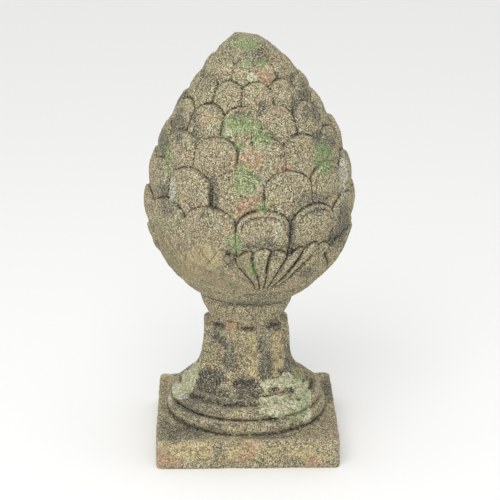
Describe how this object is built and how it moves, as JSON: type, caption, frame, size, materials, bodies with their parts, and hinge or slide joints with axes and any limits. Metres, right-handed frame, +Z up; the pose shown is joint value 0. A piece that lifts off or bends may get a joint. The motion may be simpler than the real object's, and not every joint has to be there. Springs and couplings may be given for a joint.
{
  "type": "pinecone finial",
  "caption": "Garden finial in weathered cast stone: a scaled pine cone on a fluted shaft, over two beads and a square plinth.",
  "frame": {"origin": "centre of the plinth's underside", "axes": "+Z up along the finial, -Y towards the viewer of the picture, X and Y along the plinth's sides"},
  "size_m": [0.227, 0.227, 0.4615],
  "materials": {
    "cast_stone": "matt, sandy grain, weathered, with moss, lichen and dark grime"
  },
  "bodies": {
    "root": {"pinecone_finial": "cast_stone"}
  },
  "joints": []
}
